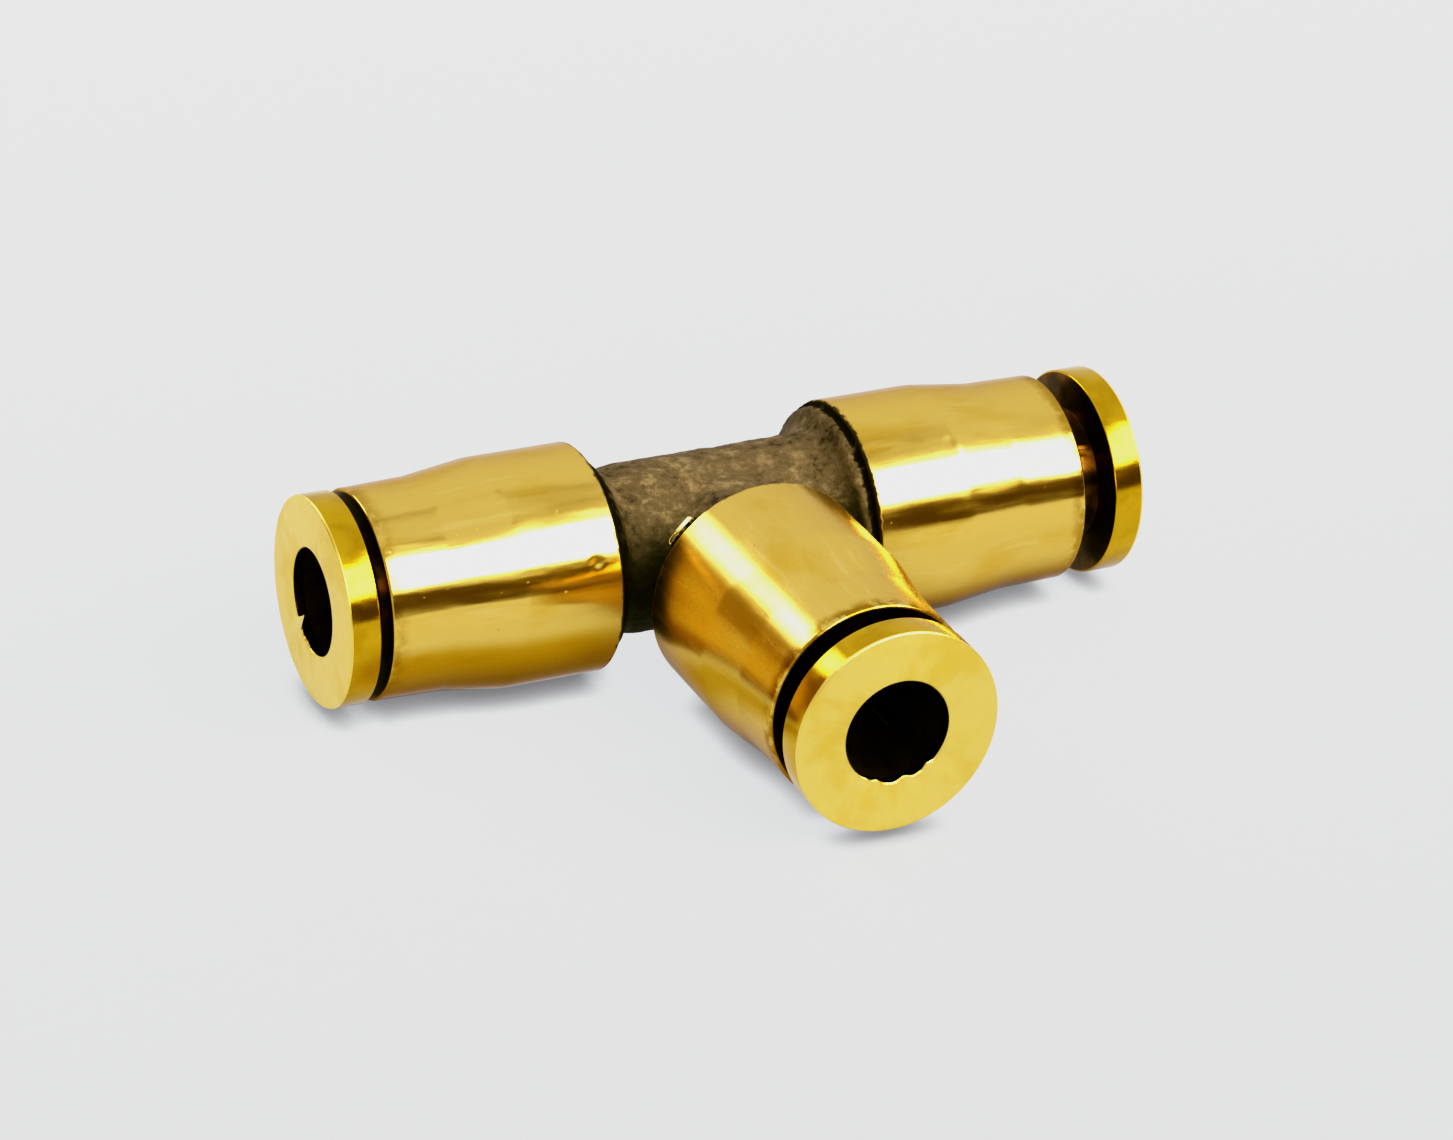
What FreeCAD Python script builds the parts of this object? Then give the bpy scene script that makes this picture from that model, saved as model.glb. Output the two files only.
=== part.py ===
"""Push to connect union tee for 1/4 inch (6.35 mm) air brake tube.

A forged brass tee with three alike ports: two on the run, along X, and a branch, towards -Y.
The axes of the ports meet at the origin and lie in the plane Z = 0. Each port holds a tube support,
an O-ring, a seal washer, a cam ring under the swaged lip, and a flanged collet that slides.

Lengths are in millimetres. Inside a port, "out" is the distance from the origin along the port's axis.
"""

import FreeCAD, Part
import math
import os

V = FreeCAD.Vector

# ---- Driving dimensions -------------------------------------------------------------------------

TUBE_R = 6.35 / 2              # the tube that the fitting takes
TUBE_CLEARANCE = 0.125         # between tube and collet

NECK_R = 5.25                  # forged neck between the run ports
BRANCH_NECK_R = 5.00           # forged neck of the branch
NECK_BLEND = 1.20              # fillet where the branch leaves the run
FLASH_HEIGHT = 0.12            # trimmed flash along the forging's parting plane, Z = 0
FLASH_WIDTH = 0.80
BARREL_R = 7.08                # turned barrel of a port, at its inner end
MOUTH_R = 6.48                 # turned barrel after swaging, at its mouth
RUN_LENGTH = 23.20             # origin to the mouth of a run port
BRANCH_LENGTH = 23.05          # origin to the mouth of the branch port
RUN_TURNED_FROM = 8.55         # origin to the start of the turned barrel, on the run
BRANCH_TURNED_FROM = 7.60      # the same, on the branch

FLANGE_R = 6.50                # flange of a collet
FLANGE_THICKNESS = 1.95
COLLET_TRAVEL = 2.15           # from flange on the mouth to jaws on the cam ring
LEFT_GAP = 0.75                # mouth to flange as the fitting lies: each collet floats
RIGHT_GAP = 2.08
BRANCH_GAP = 1.60

# ---- Forged shoulder and turned barrel ----------------------------------------------------------

SHOULDER_R = 6.45              # forged collar beside the barrel
SHOULDER_RUNOUT = 2.20         # from the end of the neck to the start of the barrel
SHOULDER_HOLLOW = 1.30         # radius of the hollow arc that leaves the neck
SHOULDER_SLOPE = 62            # degrees, the flank between the hollow and the collar
SHOULDER_ROUND = 0.60          # radius of the round that joins the flank to the collar
CREASE_WIDTH = 0.24            # tool mark between collar and barrel
CREASE_DEPTH = 0.28
CREASE_RUNOUT = 0.42           # from the collar's edge to the start of the barrel
BARREL_CHAMFER = 0.14
SWAGE_FROM_MOUTH = 8.25        # start of the swaged taper, measured back from the mouth
SWAGE_LENGTH = 4.00
SWAGED_R = 6.56                # small end of the taper, from where the barrel narrows a little to its mouth
SWAGE_BLEND = 5.00             # radius at both ends of the taper
MOUTH_ROUND = 0.45

# ---- Stack inside a port, measured back from the mouth -------------------------------------------

PASSAGE_R = 2.45               # flow passage, and press seat of the tube support
TUBE_STOP = 15.20
SOCKET_R = 3.25                # guides the end of the tube
GLAND_INNER = 11.60
GLAND_R = 4.70                 # holds the O-ring
CAVITY_INNER = 9.30
CAVITY_R = 5.10                # room for the collet's jaws
CAM_SEAT = 4.30                # shoulder that the cam ring sits on
CAM_R = 5.45
LIP_THICKNESS = 0.90
LIP_R = 4.55

# ---- Small parts ---------------------------------------------------------------------------------

O_RING_SECTION_R = 0.82        # as squeezed in its gland
O_RING_CLEARANCE = 0.01
WASHER_THICKNESS = 1.00
WASHER_BORE_R = 3.35
WASHER_LEAD_IN = 0.30

SUPPORT_BORE_R = 1.55
SUPPORT_R = 2.05
SUPPORT_SHANK = 3.30           # length pressed into the passage
SUPPORT_TIP = 5.60             # tip, measured back from the mouth
SUPPORT_TIP_CHAMFER = 0.30

CAM_THROAT = 2.20              # inner end of the cam ring's throat, measured back from the mouth
CAM_MOUTH_R = 5.00             # wide end of its cone
CAM_ANGLE = 23.8               # degrees, cone against axis

SLEEVE_R = 4.15                # collet's sleeve
SLEEVE_CLEARANCE = 0.10        # to the cam ring's throat
COLLET_DEPTH = 7.20            # from the back of the flange to the tip of the jaws
JAW_R = 4.75                   # ridge on the jaws
JAW_LAND = 1.07                # length of the ridge
JAW_CLEARANCE = 0.05           # left between jaws and cone at the end of the travel
TIP_CHAMFER = 0.25
TOOTH_R = 3.08                 # edge that bites the tube
TOOTH_BACK = 0.35              # from the tip to the edge
TOOTH_LENGTH = 1.10
SLOT_COUNT = 4
SLOT_WIDTH = 0.80
SLOT_OUTER = 2.60              # closed end of a slot, measured from the back of the flange
FLANGE_CHAMFER = 0.18
BORE_CHAMFER = 0.20

RUN = {"mouth": RUN_LENGTH, "turned_from": RUN_TURNED_FROM, "neck_r": NECK_R}
BRANCH = {"mouth": BRANCH_LENGTH, "turned_from": BRANCH_TURNED_FROM, "neck_r": BRANCH_NECK_R}
PORTS = {
    "left": {**RUN, "axis": V(-1, 0, 0), "gap": LEFT_GAP},
    "right": {**RUN, "axis": V(1, 0, 0), "gap": RIGHT_GAP},
    "branch": {**BRANCH, "axis": V(0, -1, 0), "gap": BRANCH_GAP},
}

TUBE_BORE_R = TUBE_R + TUBE_CLEARANCE
THROAT_R = SLEEVE_R + SLEEVE_CLEARANCE


# ---- Tools ---------------------------------------------------------------------------------------


def turned(outline):
    """A solid turned about Z from an outline of (radius, height) points.

    An entry with four numbers is an arc: the point on its way, then its end.
    """
    edges = []
    at = outline[0]
    for entry in outline[1:] + outline[:1]:
        end = entry[-2:]
        start_point, end_point = V(at[0], 0, at[1]), V(end[0], 0, end[1])
        if len(entry) == 4:
            edges.append(Part.Arc(start_point, V(entry[0], 0, entry[1]), end_point).toShape())
        else:
            edges.append(Part.makeLine(start_point, end_point))
        at = end
    face = Part.Face(Part.Wire(edges))
    return face.revolve(V(0, 0, 0), V(0, 0, 1), 360)


def arc_about(centre, radius, middle_deg, end_deg):
    """An arc entry for an outline, from its centre and its angles in the (radius, height) plane."""
    entry = ()
    for angle in (math.radians(middle_deg), math.radians(end_deg)):
        entry += (centre[0] + radius * math.cos(angle), centre[1] + radius * math.sin(angle))
    return entry


def into_port(shape, axis):
    """Turns a shape made along Z so that it lies along a port's axis."""
    placed = shape.copy()
    placed.Placement = FreeCAD.Placement(V(0, 0, 0), FreeCAD.Rotation(V(0, 0, 1), axis))
    return placed


# ---- The forged and turned body ------------------------------------------------------------------


def blend(before, corner, after, radius):
    """Outline entries that round off a corner between two lines: where the arc starts, and the arc."""
    before, corner, after = (V(*point, 0) for point in (before, corner, after))
    back, ahead = (before - corner).normalize(), (after - corner).normalize()
    half = back.getAngle(ahead) / 2
    start, end = (corner + leg * (radius / math.tan(half)) for leg in (back, ahead))
    inwards = (back + ahead).normalize()
    middle = corner + inwards * (radius / math.sin(half) - radius)
    return [(start.x, start.y), (middle.x, middle.y, end.x, end.y)]


def swage(mouth):
    """Outline of the taper that carries a barrel to its smaller mouth."""
    start = (BARREL_R, mouth - SWAGE_FROM_MOUTH)
    end = (SWAGED_R, mouth - SWAGE_FROM_MOUTH + SWAGE_LENGTH)
    on_barrel, at_mouth = (BARREL_R, start[1] - 1), (MOUTH_R, mouth - MOUTH_ROUND)
    return [
        *blend(on_barrel, start, end, SWAGE_BLEND),
        *blend(start, end, at_mouth, SWAGE_BLEND),
        at_mouth,
    ]


def shoulder(neck_r, neck_end):
    """Outline of a forged shoulder: a hollow arc, a straight flank and a round, each tangent to the next."""
    slope = math.radians(SHOULDER_SLOPE)
    rise, run = 1 - math.cos(slope), math.sin(slope)
    flank_r, flank_out = neck_r + SHOULDER_HOLLOW * rise, neck_end + SHOULDER_HOLLOW * run
    round_r = SHOULDER_R - SHOULDER_ROUND * rise
    round_out = flank_out + (round_r - flank_r) / math.tan(slope)
    hollow_centre = (neck_r + SHOULDER_HOLLOW, neck_end)
    round_centre = (SHOULDER_R - SHOULDER_ROUND, round_out + SHOULDER_ROUND * run)
    return [
        (neck_r, neck_end),
        arc_about(hollow_centre, SHOULDER_HOLLOW, 180 - SHOULDER_SLOPE / 2, 180 - SHOULDER_SLOPE),
        (round_r, round_out),
        arc_about(round_centre, SHOULDER_ROUND, -SHOULDER_SLOPE / 2, 0),
    ]


def outside_of_port(port):
    """Forged shoulder, turned barrel and swaged mouth of a port, from the end of its neck."""
    mouth, turned_from = port["mouth"], port["turned_from"]
    neck_end = turned_from - SHOULDER_RUNOUT
    crease_out = turned_from - CREASE_RUNOUT
    mouth_centre = (MOUTH_R - MOUTH_ROUND, mouth - MOUTH_ROUND)
    return turned([
        (0, neck_end),
        *shoulder(port["neck_r"], neck_end),
        (SHOULDER_R, crease_out),
        (SHOULDER_R - CREASE_DEPTH, crease_out + CREASE_WIDTH / 2),
        (SHOULDER_R, crease_out + CREASE_WIDTH),
        (BARREL_R - BARREL_CHAMFER, turned_from),
        (BARREL_R, turned_from + BARREL_CHAMFER),
        *swage(mouth),
        arc_about(mouth_centre, MOUTH_ROUND, 45, 90),
        (0, mouth),
    ])


def inside_of_port(mouth):
    """What is bored out of a port: passage, tube socket, O-ring gland, jaw cavity and cam seat."""
    past_the_mouth = mouth + 1
    steps = [
        (PASSAGE_R, TUBE_STOP),
        (SOCKET_R, GLAND_INNER),
        (GLAND_R, CAVITY_INNER),
        (CAVITY_R, CAM_SEAT),
        (CAM_R, LIP_THICKNESS),
    ]
    outline = [(0, 0)]
    at = 0
    for radius, back in steps:
        outline += [(radius, at), (radius, mouth - back)]
        at = mouth - back
    outline += [(LIP_R, at), (LIP_R, past_the_mouth), (0, past_the_mouth)]
    return turned(outline)


def neck():
    """The forged crossing of the necks: two cylinders with a blend between them, and the trimmed flash."""
    run_half = RUN_TURNED_FROM - SHOULDER_RUNOUT
    run_neck = Part.makeCylinder(NECK_R, 2 * run_half, V(-run_half, 0, 0), V(1, 0, 0))
    branch_neck = Part.makeCylinder(BRANCH_NECK_R, BRANCH_TURNED_FROM, V(0, 0, 0), V(0, -1, 0))
    crossing = run_neck.fuse(branch_neck).removeSplitter()
    seam = [e for e in crossing.Edges if e.isClosed() and -NECK_R < e.CenterOfMass.y < -1]
    blended = crossing.makeFillet(NECK_BLEND, seam)
    flash_reach = NECK_R + FLASH_HEIGHT
    flash_corner = V(-run_half, -flash_reach, -FLASH_WIDTH / 2)
    return blended.fuse(Part.makeBox(2 * run_half, 2 * flash_reach, FLASH_WIDTH, flash_corner))


def tee_body():
    """The forging with its three ports bored and turned."""
    outsides = [into_port(outside_of_port(p), p["axis"]) for p in PORTS.values()]
    forging = neck().fuse(outsides).removeSplitter()
    bores = [into_port(inside_of_port(p["mouth"]), p["axis"]) for p in PORTS.values()]
    return forging.cut(bores)


# ---- The stack in a port -------------------------------------------------------------------------


def tube_support(mouth):
    """Thin sleeve pressed into the passage: the tube goes over it and cannot collapse under the jaws."""
    stop = mouth - TUBE_STOP
    root = stop - SUPPORT_SHANK
    tip = mouth - SUPPORT_TIP
    return turned([
        (SUPPORT_BORE_R, root),
        (PASSAGE_R, root),
        (PASSAGE_R, stop),
        (SUPPORT_R, stop),
        (SUPPORT_R, tip - SUPPORT_TIP_CHAMFER),
        (SUPPORT_R - SUPPORT_TIP_CHAMFER, tip),
        (SUPPORT_BORE_R, tip),
    ])


def o_ring(mouth):
    """The seal, squeezed between the gland and where the tube will be."""
    middle = mouth - (GLAND_INNER + CAVITY_INNER) / 2
    ring_r = GLAND_R - O_RING_SECTION_R - O_RING_CLEARANCE
    return Part.makeTorus(ring_r, O_RING_SECTION_R, V(0, 0, middle), V(0, 0, 1))


def seal_washer(mouth):
    """Ring pressed in over the O-ring, which keeps it in its gland when the tube is pulled."""
    inner = mouth - CAVITY_INNER
    outer = inner + WASHER_THICKNESS
    return turned([
        (WASHER_BORE_R, inner),
        (CAVITY_R, inner),
        (CAVITY_R, outer),
        (WASHER_BORE_R + WASHER_LEAD_IN, outer),
        (WASHER_BORE_R, outer - WASHER_LEAD_IN),
    ])


def along_cone(from_r, to_r):
    """Distance along the axis over which the cam's cone goes from one radius to another."""
    return (to_r - from_r) / math.tan(math.radians(CAM_ANGLE))


def cam_ring(mouth):
    """Ring under the swaged lip, whose cone closes the jaws when the collet is drawn outwards."""
    inner = mouth - CAM_SEAT
    outer = mouth - LIP_THICKNESS
    throat = mouth - CAM_THROAT
    return turned([
        (CAM_MOUTH_R, inner),
        (CAM_R, inner),
        (CAM_R, outer),
        (THROAT_R, outer),
        (THROAT_R, throat),
        (CAM_MOUTH_R, throat - along_cone(THROAT_R, CAM_MOUTH_R)),
    ])


def collet(mouth, gap):
    """Flanged release button and toothed jaws in one piece: push the flange to free the tube."""
    back = mouth + gap
    face = back + FLANGE_THICKNESS
    tip = back - COLLET_DEPTH
    meets_cone = CAM_THROAT + along_cone(THROAT_R, JAW_R)
    land_outer = back - COLLET_TRAVEL - meets_cone - JAW_CLEARANCE
    blank = turned([
        (TUBE_BORE_R + BORE_CHAMFER, tip),
        (TOOTH_R, tip + TOOTH_BACK),
        (TUBE_BORE_R, tip + TOOTH_LENGTH),
        (TUBE_BORE_R, face - BORE_CHAMFER),
        (TUBE_BORE_R + BORE_CHAMFER, face),
        (FLANGE_R - FLANGE_CHAMFER, face),
        (FLANGE_R, face - FLANGE_CHAMFER),
        (FLANGE_R, back + FLANGE_CHAMFER),
        (FLANGE_R - FLANGE_CHAMFER, back),
        (SLEEVE_R, back),
        (SLEEVE_R, land_outer + along_cone(SLEEVE_R, JAW_R)),
        (JAW_R, land_outer),
        (JAW_R, land_outer - JAW_LAND),
        (SLEEVE_R, tip + TIP_CHAMFER),
        (SLEEVE_R - TIP_CHAMFER, tip),
    ])
    return blank.cut([jaw_slot(back, i) for i in range(SLOT_COUNT)])


def jaw_slot(back, number):
    """One of the saw cuts that divide the sleeve into jaws, open at the tip."""
    past_the_tip = back - COLLET_DEPTH - 1
    length = back - SLOT_OUTER - past_the_tip
    slot = Part.makeBox(FLANGE_R, SLOT_WIDTH, length, V(0, -SLOT_WIDTH / 2, past_the_tip))
    slot.rotate(V(0, 0, 0), V(0, 0, 1), 360 / SLOT_COUNT * (number + 0.5))
    return slot


# ---- The assembly --------------------------------------------------------------------------------


def parts():
    """Every piece by node name, in its place."""
    made = {"tee_body": tee_body()}
    for side, port in PORTS.items():
        mouth = port["mouth"]
        stack = {
            "tube_support": tube_support(mouth),
            "o_ring": o_ring(mouth),
            "seal_washer": seal_washer(mouth),
            "cam_ring": cam_ring(mouth),
            "collet": collet(mouth, port["gap"]),
        }
        for piece, shape in stack.items():
            made[f"{side}_{piece}"] = into_port(shape, port["axis"])
    return made


def main():
    os.makedirs("parts", exist_ok=True)
    for name, shape in parts().items():
        print(f"{name}: {len(shape.Solids)} solid, valid {shape.isValid()}, {shape.Volume:.1f} mm3")
        shape.exportStep(f"parts/{name}.step")


main()
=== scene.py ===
import math
from typing import NamedTuple

import bmesh
import bpy
from mathutils import Matrix, Vector, noise


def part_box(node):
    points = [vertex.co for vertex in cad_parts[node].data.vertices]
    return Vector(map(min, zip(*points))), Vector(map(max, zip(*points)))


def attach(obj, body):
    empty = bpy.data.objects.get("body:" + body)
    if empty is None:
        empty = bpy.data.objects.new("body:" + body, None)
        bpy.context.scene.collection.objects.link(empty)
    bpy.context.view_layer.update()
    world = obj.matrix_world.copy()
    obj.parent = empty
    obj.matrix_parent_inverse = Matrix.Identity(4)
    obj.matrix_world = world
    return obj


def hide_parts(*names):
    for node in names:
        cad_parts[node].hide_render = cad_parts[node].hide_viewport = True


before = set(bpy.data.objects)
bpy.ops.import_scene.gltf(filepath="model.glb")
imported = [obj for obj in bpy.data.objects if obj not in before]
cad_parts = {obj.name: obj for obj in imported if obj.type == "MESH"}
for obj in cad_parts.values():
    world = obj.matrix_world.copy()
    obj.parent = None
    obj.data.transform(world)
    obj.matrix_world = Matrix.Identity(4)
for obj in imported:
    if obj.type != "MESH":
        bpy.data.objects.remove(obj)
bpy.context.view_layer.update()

# Looks of a brass push to connect union tee, on a pale floor in soft studio light.
# Lengths are in metres in the CAD frame. Outlines are in millimetres, as (radius, out) about a port's
# axis, where "out" is the distance from the origin, at which the axes of the three ports meet.

MM = 0.001

# ---- Sizes read from the frame -------------------------------------------------------------------

BODY_LOW, BODY_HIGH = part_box("tee_body")
BARREL_R = BODY_HIGH.z / MM
RUN_MOUTH = BODY_HIGH.x / MM
BRANCH_MOUTH = -BODY_LOW.y / MM
FLOOR_Z = BODY_LOW.z

# ---- Details of the body, as in the CAD model ------------------------------------------------------

RUN_TURNED_FROM = 8.55
BRANCH_TURNED_FROM = 7.60
COLLAR_R = 6.45
BARREL_CHAMFER = 0.14
MOUTH_R = 6.48
MOUTH_ROUND = 0.45
SWAGE_FROM_MOUTH = 8.25
SWAGE_LENGTH = 4.00
SWAGED_R = 6.56
SWAGE_BLEND = 5.00
LIP_R = 4.55
LIP_THICKNESS = 0.90
CAM_R = 5.45
CAM_SEAT = 4.30
CAVITY_R = 5.10
CAVITY_INNER = 9.30
GLAND_R = 4.70
GLAND_INNER = 11.60
SOCKET_R = 3.25

# ---- Details of the small parts -------------------------------------------------------------------

SUPPORT_BORE_R = 1.55
SUPPORT_R = 2.05
SUPPORT_SHANK = 3.30
WASHER_BORE_R = 3.35
WASHER_LEAD_IN = 0.30
THROAT_R = 4.25
THROAT_FROM_MOUTH = 2.20
CONE_WIDE_R = 5.00
CONE_LENGTH = 1.70

FLANGE_THICKNESS = 1.95
TUBE_BORE_R = 3.30
SLEEVE_R = 4.15
JAW_R = 4.75
JAW_LAND = 1.07
JAW_LAND_FROM_BACK = 5.534
JAW_FLANK = 1.36
TIP_CHAMFER = 0.25
TOOTH_R = 3.08
TOOTH_BACK = 0.35
TOOTH_LENGTH = 1.10
SLOT_COUNT = 4
SLOT_WIDTH = 0.80
SLOT_FROM_BACK = 2.60

# ---- What wear and making leave, beyond the CAD model ------------------------------------------------

# Burrs on the edge of each bore: turn and half width in degrees, and height in millimetres.
BURRS = {
    "left": [(140, 9, 2.9), (158, 30, 0.25)],
    "right": [(150, 40, 0.3)],
    "branch": [(152, 20, 0.5), (-170, 26, 0.45), (-140, 10, 0.4)],
}
# How ragged they are: waves to each millimetre.
BURR_GRAIN = {"left": 1.9, "right": 1.9, "branch": 1.3}

SKIN_DEPTH = 0.045
SWELL = 0.34
SWELL_FROM = 5.2
SWELL_LENGTH = 2.6

# Painted shade in the crease beside each barrel: how wide, over what length it fades, and the least radius
# that it lies on.
CREASE_SHADE_BANDS = {"left": (1.45, 0.8, 4.6), "right": (0.62, 0.35, 5.7), "branch": (0.62, 0.35, 5.7)}

# The patch of the branch's collar that the turning tool has skimmed.
SKIM_OUT = 6.75
SKIM_HALF_LENGTH = 0.75
SKIM_TURN = 48
SKIM_HALF_TURN = 12
SKIM_LEAST_R = 5.6
SKIM_CLEARANCE = 0.06

# ---- How finely it is made -----------------------------------------------------------------------------

EDGE_BREAK = 0.06
SEGMENTS = 224
HIDDEN_SEGMENTS = 128
SKIN_VOXEL = 0.09
TURN_UV = 40
NOISE_R = 6.5


class Port:
    """One port: its axis, where its mouth is, and the nodes that it holds."""

    def __init__(self, side, axis, mouth, turned_from):
        self.side = side
        self.axis = Vector(axis)
        self.up = Vector((0, 0, 1))
        self.across = self.axis.cross(self.up)
        self.mouth = mouth
        self.turned_from = turned_from

    def point(self, radius, turn, out):
        """A point in metres: turn is in radians about the axis, 0 at the top."""
        spoke = self.up * math.cos(turn) + self.across * math.sin(turn)
        return (self.axis * out + spoke * radius) * MM

    def node(self, piece):
        return f"{self.side}_{piece}"

    def span(self, piece):
        """How far out a CAD node begins and ends, in millimetres."""
        ends = sorted(corner.dot(self.axis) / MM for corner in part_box(self.node(piece)))
        return ends[0], ends[1]


PORTS = [
    Port("left", (-1, 0, 0), RUN_MOUTH, RUN_TURNED_FROM),
    Port("right", (1, 0, 0), RUN_MOUTH, RUN_TURNED_FROM),
    Port("branch", (0, -1, 0), BRANCH_MOUTH, BRANCH_TURNED_FROM),
]


# ---- Materials: helpers ----------------------------------------------------------------------------


class Shader:
    """A material with a Principled surface, and short calls that add nodes to it."""

    def __init__(self, name, color, metallic, roughness):
        self.material = bpy.data.materials.new(name)
        self.material.use_nodes = True
        self.tree = self.material.node_tree
        self.surface = self.tree.nodes["Principled BSDF"]
        self.surface.inputs["Base Color"].default_value = (*color, 1)
        self.surface.inputs["Metallic"].default_value = metallic
        self.surface.inputs["Roughness"].default_value = roughness
        self.material.diffuse_color = (*color, 1)
        self.place = self.add("ShaderNodeTexCoord").outputs["Object"]

    def add(self, kind, inputs=None, **settings):
        made = self.tree.nodes.new(kind)
        for key, value in settings.items():
            setattr(made, key, value)
        for key, value in (inputs or {}).items():
            self.feed(made.inputs[key], value)
        return made

    def feed(self, socket, value):
        if isinstance(value, bpy.types.NodeSocket):
            self.tree.links.new(value, socket)
        else:
            socket.default_value = value

    def set(self, name, value):
        self.feed(self.surface.inputs[name], value)

    def math(self, operation, *values, clamp=False):
        made = self.add("ShaderNodeMath", operation=operation, use_clamp=clamp)
        for socket, value in zip(made.inputs, values):
            self.feed(socket, value)
        return made.outputs[0]

    def noise(self, size, detail=3.0, roughness=0.55, distortion=0.0, place=None, stretch=1.0):
        """Noise with features of about that size in metres, or in millimetres on round_place()."""
        vector = self.place if place is None else place
        if stretch != 1.0:
            squeeze = {"Vector": vector, "Scale": (1, 1, 1 / stretch)}
            vector = self.add("ShaderNodeMapping", squeeze).outputs[0]
        made = self.add(
            "ShaderNodeTexNoise",
            {
                "Vector": vector, "Scale": 1 / size, "Detail": detail,
                "Roughness": roughness, "Distortion": distortion,
            },
        )
        return made.outputs["Fac"]

    def turned_uv(self):
        """U, the share of a turn times TURN_UV, and V, the length along the outline in millimetres."""
        uv = self.add("ShaderNodeUVMap", uv_map="turning").outputs[0]
        split = self.add("ShaderNodeSeparateXYZ", {"Vector": uv})
        return split.outputs["X"], split.outputs["Y"]

    def round_place(self, radius=NOISE_R):
        """A place in millimetres on a turned surface: round the axis in X and Y, along the outline in Z."""
        around, along = self.turned_uv()
        turn = self.math("MULTIPLY", around, math.tau / TURN_UV)
        x = self.math("MULTIPLY", self.math("COSINE", turn), radius)
        y = self.math("MULTIPLY", self.math("SINE", turn), radius)
        return self.add("ShaderNodeCombineXYZ", {"X": x, "Y": y, "Z": along}).outputs[0]

    def moved(self, place, distance):
        """A place further along, where the same noise looks different."""
        made = self.add("ShaderNodeVectorMath", {0: place, 1: (0, 0, distance)}, operation="ADD")
        return made.outputs[0]

    def dent(self, place, port, turn, out, radius, stretch):
        """Height 0..1 of a dent on a barrel, 0 at its bottom; place is round_place()."""
        around = math.radians(turn - 180)
        along = along_barrel(port, out)
        centre = (NOISE_R * math.cos(around), NOISE_R * math.sin(around), along / stretch)
        squeeze = {0: place, 1: (1, 1, 1 / stretch)}
        squeezed = self.add("ShaderNodeVectorMath", squeeze, operation="MULTIPLY").outputs[0]
        between = {0: squeezed, 1: centre}
        away = self.add("ShaderNodeVectorMath", between, operation="DISTANCE").outputs["Value"]
        return self.spread(away, 0.0, radius)

    def open_sky(self, reach, low, high):
        """1 in the open, down to 0 where other surfaces are close, within that many metres."""
        near = self.add("ShaderNodeAmbientOcclusion", {"Distance": reach}, samples=6).outputs["AO"]
        return self.spread(near, low, high)

    def spread(self, value, low, high, to_low=0.0, to_high=1.0):
        """Maps low..high smoothly to to_low..to_high."""
        made = self.add(
            "ShaderNodeMapRange",
            {"Value": value, "From Min": low, "From Max": high, "To Min": to_low, "To Max": to_high},
            interpolation_type="SMOOTHSTEP",
        )
        return made.outputs[0]

    def mix(self, amount, first, second):
        """Mixes two colours."""
        made = self.add("ShaderNodeMix", data_type="RGBA")
        colors = [s for s in made.inputs if s.type == "RGBA"]
        self.feed(made.inputs["Factor"], amount)
        for socket, color in zip(colors, (first, second)):
            self.feed(socket, color if isinstance(color, bpy.types.NodeSocket) else (*color, 1))
        return made.outputs["Result"] if made.outputs[0].type != "RGBA" else made.outputs[0]

    def bump(self, height, distance, strength=1.0, onto=None):
        """Adds relief: height 0..1 stands for that distance in metres."""
        inputs = {"Height": height, "Distance": distance, "Strength": strength}
        if onto is not None:
            inputs["Normal"] = onto
        return self.add("ShaderNodeBump", inputs).outputs[0]

    def turning(self, pitch, wander=0.15):
        """Tool marks: noise along the turned outline, with lines about that far apart in millimetres."""
        along = self.turned_uv()[1]
        drift = self.math("MULTIPLY", self.noise(0.006, detail=2), wander)
        place = self.math("DIVIDE", self.math("ADD", along, drift), pitch)
        made = self.add(
            "ShaderNodeTexNoise", {"W": place, "Scale": 1.0, "Detail": 4.0, "Roughness": 0.7},
            noise_dimensions="1D",
        )
        return made.outputs["Fac"]

    def brush(self, amount, rotation=0.25):
        """Highlights drawn out along the axis, as fine tool marks round it do."""
        self.set("Anisotropic", amount)
        self.set("Anisotropic Rotation", rotation)
        tangent = self.add("ShaderNodeTangent", direction_type="UV_MAP", uv_map="turning").outputs[0]
        self.set("Tangent", tangent)


# ---- Materials ---------------------------------------------------------------------------------------

BRASS = (0.89, 0.625, 0.165)
BRASS_PALE = (0.92, 0.70, 0.25)
BRASS_DEEP = (0.78, 0.46, 0.04)
BRASS_EDGE = (0.75, 0.655, 0.62)
BRASS_TARNISHED = (0.34, 0.17, 0.03)


def along_barrel(port, out):
    """Length in millimetres along a barrel's outline, from its end at the bore to a place that far out."""
    chamfer_saves = 0.08
    return BARREL_R - SOCKET_R + out - port.turned_from - chamfer_saves


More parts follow.
